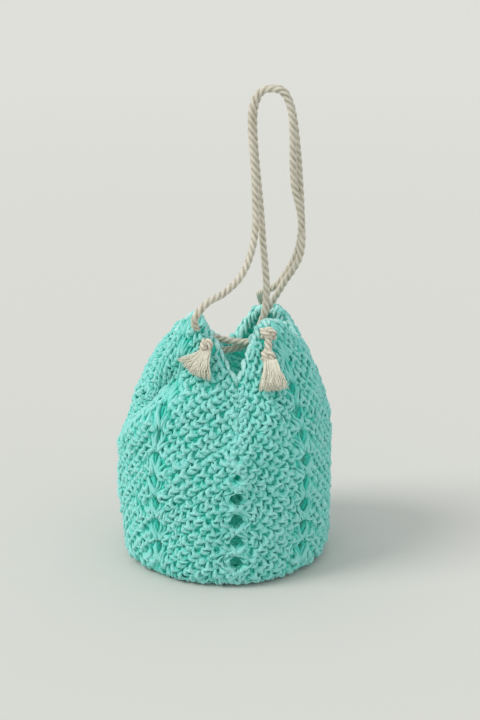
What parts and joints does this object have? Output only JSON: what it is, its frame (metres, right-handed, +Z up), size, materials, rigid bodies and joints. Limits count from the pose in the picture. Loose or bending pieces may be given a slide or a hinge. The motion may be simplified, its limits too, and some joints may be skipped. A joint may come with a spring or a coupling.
{
  "type": "crochet drawstring bucket bag",
  "caption": "Round flat-based crocheted cotton bucket bag with a scalloped mouth, gathered by a twisted rope that also forms two looped handles with knotted tassel ends.",
  "frame": {"origin": "the grip: the middle between the tops of the two rope loops, where a hand holds the bag", "axes": "+Z up along the hanging bag, -Y toward the front with the two tasselled rope ends, +X to the right seen from the front"},
  "size_m": [0.2488, 0.249, 0.5516],
  "materials": {
    "crochet_yarn": "matt aqua cotton yarn in chunky crochet stitches",
    "cotton_rope": "natural undyed cotton, three twisted strands"
  },
  "bodies": {
    "root": {"bag_body": "crochet_yarn", "drawstring_rope": "cotton_rope", "right_stopper_knot": "cotton_rope", "right_rope_tail": "cotton_rope", "right_tassel_knot": "cotton_rope", "right_tassel": "cotton_rope", "left_stopper_knot": "cotton_rope", "left_tassel": "cotton_rope"}
  },
  "joints": []
}
